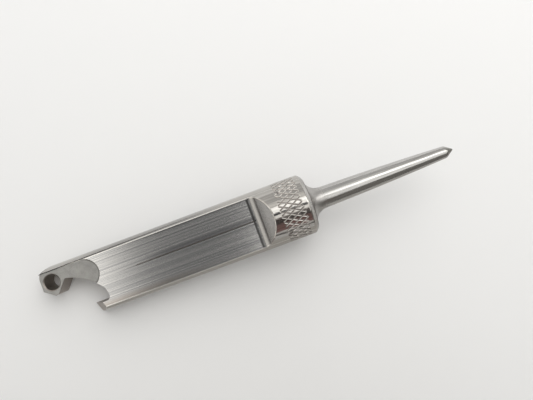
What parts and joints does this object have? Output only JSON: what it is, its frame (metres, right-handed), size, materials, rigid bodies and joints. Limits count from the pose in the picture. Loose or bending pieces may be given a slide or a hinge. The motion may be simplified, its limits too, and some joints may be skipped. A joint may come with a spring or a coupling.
{
  "type": "spudger tool",
  "caption": "Slim steel hand tool cut from round bar, with a lanyard eye and opener hook, a flat blade, a knurled collar and a long tapered spike.",
  "frame": {"origin": "under the middle of the tool's length, at the height of the collar's lowest line", "axes": "+X along the bar towards the spike's tip, +Y towards the side that the lanyard eye is on, +Z out of the blade's upper flat"},
  "size_m": [0.0884, 0.0126, 0.0127],
  "materials": {
    "machined_steel": "milled and brushed flats, polished knurled collar",
    "polished_steel": "polished along its length, satin at the flared root"
  },
  "bodies": {
    "root": {"handle": "machined_steel", "spike": "polished_steel"}
  },
  "joints": []
}
